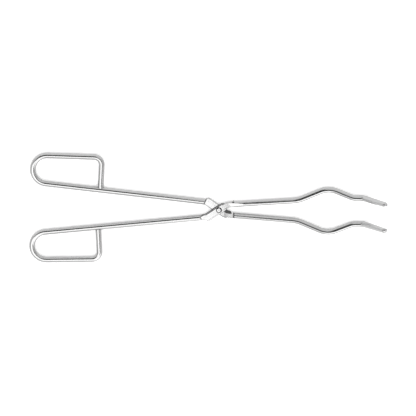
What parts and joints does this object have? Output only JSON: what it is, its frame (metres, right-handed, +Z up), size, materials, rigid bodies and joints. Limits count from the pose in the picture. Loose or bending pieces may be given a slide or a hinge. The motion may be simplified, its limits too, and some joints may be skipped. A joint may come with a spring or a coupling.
{
  "type": "crucible tongs",
  "caption": "Crossed steel rod tongs with D-shaped handle bows, a riveted half-lap joint, bowed jaws and upturned serrated tips for lifting hot crucibles.",
  "frame": {"origin": "point on the pivot axis at the height of the bench that the tongs lie on", "axes": "+X along the tongs towards the jaw tips, +Y towards the handle of the rear arm, +Z up from the bench, the way the tips are bent"},
  "size_m": [0.3003, 0.0964, 0.0229],
  "materials": {
    "rod_steel": "bright polished stainless steel rod with fine lengthwise drawing lines",
    "rivet_steel": "stainless steel rivet with peened heads"
  },
  "bodies": {
    "rear": {"rear_arm": "rod_steel", "pivot_rivet": "rivet_steel"},
    "front": {"front_arm": "rod_steel"}
  },
  "joints": [
    {"name": "pivot", "type": "hinge", "parent": "rear", "child": "front", "pos_m": [0, 0, 0.0025], "axis": [0, 0, 1], "range_deg": [-8.25, 40]}
  ]
}
